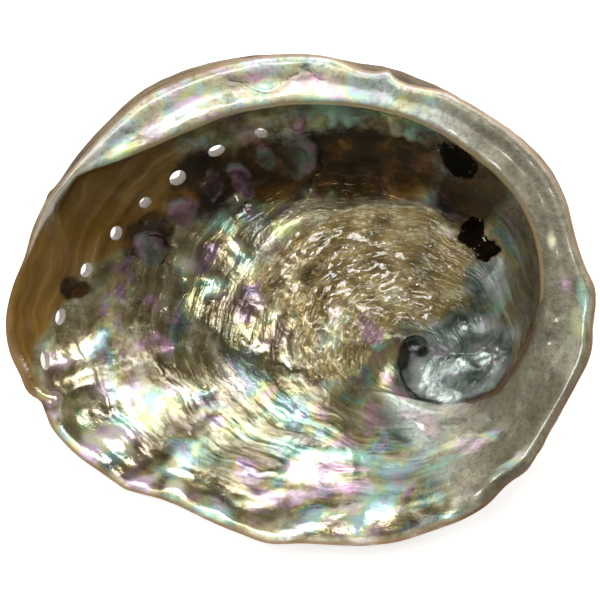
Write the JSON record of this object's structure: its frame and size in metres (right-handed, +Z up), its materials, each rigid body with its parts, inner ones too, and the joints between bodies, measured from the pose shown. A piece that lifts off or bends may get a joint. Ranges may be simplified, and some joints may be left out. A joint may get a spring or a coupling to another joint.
{
  "type": "abalone shell",
  "caption": "Ear-shaped abalone shell lying on its rounded back: a pearly bowl with a broad inner shelf, a row of breathing holes and a small spire pocket.",
  "frame": {"origin": "middle of the shell's outline, on the ground that its back rests on", "axes": "+X along the length towards the broad end with the spire, +Y towards the shelf, +Z up out of the open bowl"},
  "size_m": [0.1495, 0.1246, 0.0416],
  "materials": {
    "nacre": "polished"
  },
  "bodies": {
    "root": {"abalone_shell": "nacre"}
  },
  "joints": []
}
